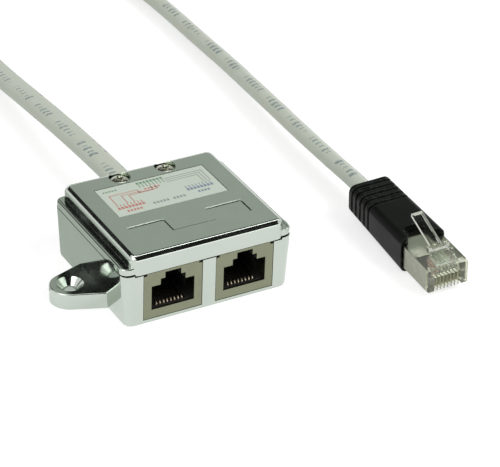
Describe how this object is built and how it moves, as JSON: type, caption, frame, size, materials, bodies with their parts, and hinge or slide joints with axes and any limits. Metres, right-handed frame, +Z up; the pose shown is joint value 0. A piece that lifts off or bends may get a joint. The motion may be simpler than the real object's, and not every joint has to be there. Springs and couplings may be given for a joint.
{
  "type": "ethernet t-adapter",
  "caption": "Plated box with shielded network sockets in its front, side fixing ears, and a short flat cable that ends in a booted network plug.",
  "frame": {"origin": "bottom centre of the housing, ears included", "axes": "+Z up, -Y out of the sockets, +X along the long side, towards the plug"},
  "size_m": [0.1031, 0.2259, 0.02],
  "materials": {
    "plated_casting": "bright nickel plate on a die casting",
    "screw_steel": "plated steel",
    "label_foil": "satin printed label",
    "circuit_board": "solder-masked laminate",
    "tinned_sheet": "tinned sheet",
    "black_moulding": "fine matt moulding",
    "gold_contact": "gold-plated spring wire",
    "cable_jacket": "soft satin jacket",
    "boot_rubber": "satin moulded boot",
    "clear_moulding": "clear moulding",
    "core_insulation": "core insulation"
  },
  "bodies": {
    "adapter": {"base_housing": "plated_casting", "board_wire_1": "core_insulation", "board_wire_2": "core_insulation", "board_wire_3": "core_insulation", "board_wire_4": "core_insulation", "board_wire_5": "core_insulation", "board_wire_6": "core_insulation", "board_wire_7": "core_insulation", "board_wire_8": "core_insulation", "cable": "cable_jacket", "circuit_board": "circuit_board", "cover": "plated_casting", "cover_screw_left": "screw_steel", "cover_screw_right": "screw_steel", "jack_left_body": "black_moulding", "jack_left_shield": "tinned_sheet", "jack_right_body": "black_moulding", "jack_right_shield": "tinned_sheet", "label": "label_foil", "plug_body": "clear_moulding", "plug_boot": "boot_rubber", "plug_contact_1": "gold_contact", "plug_contact_2": "gold_contact", "plug_contact_3": "gold_contact", "plug_contact_4": "gold_contact", "plug_contact_5": "gold_contact", "plug_contact_6": "gold_contact", "plug_contact_7": "gold_contact", "plug_contact_8": "gold_contact", "plug_shield": "tinned_sheet", "plug_wire_1": "core_insulation", "plug_wire_2": "core_insulation", "plug_wire_3": "core_insulation", "plug_wire_4": "core_insulation", "plug_wire_5": "core_insulation", "plug_wire_6": "core_insulation", "plug_wire_7": "core_insulation", "plug_wire_8": "core_insulation"},
    "latch": {"plug_latch": "clear_moulding"},
    "left_contacts": {"jack_left_contact_1": "gold_contact", "jack_left_contact_2": "gold_contact", "jack_left_contact_3": "gold_contact", "jack_left_contact_4": "gold_contact", "jack_left_contact_5": "gold_contact", "jack_left_contact_6": "gold_contact", "jack_left_contact_7": "gold_contact", "jack_left_contact_8": "gold_contact"},
    "right_contacts": {"jack_right_contact_1": "gold_contact", "jack_right_contact_2": "gold_contact", "jack_right_contact_3": "gold_contact", "jack_right_contact_4": "gold_contact", "jack_right_contact_5": "gold_contact", "jack_right_contact_6": "gold_contact", "jack_right_contact_7": "gold_contact", "jack_right_contact_8": "gold_contact"}
  },
  "joints": [
    {"name": "latch_press", "type": "hinge", "parent": "adapter", "child": "latch", "pos_m": [0.05742, -0.04075, 0.00887], "axis": [0.9965, -0.0522, 0.0645], "range_deg": [-12, 0], "stiffness_Nm_per_rad": 0.3},
    {"name": "left_contacts_press", "type": "hinge", "parent": "adapter", "child": "left_contacts", "pos_m": [-0.01015, -0.0182, 0.0029], "axis": [1, 0, 0], "range_deg": [-9, 0], "stiffness_Nm_per_rad": 0.2},
    {"name": "right_contacts_press", "type": "hinge", "parent": "adapter", "child": "right_contacts", "pos_m": [0.01015, -0.0182, 0.0029], "axis": [1, 0, 0], "range_deg": [-9, 0], "stiffness_Nm_per_rad": 0.2}
  ]
}
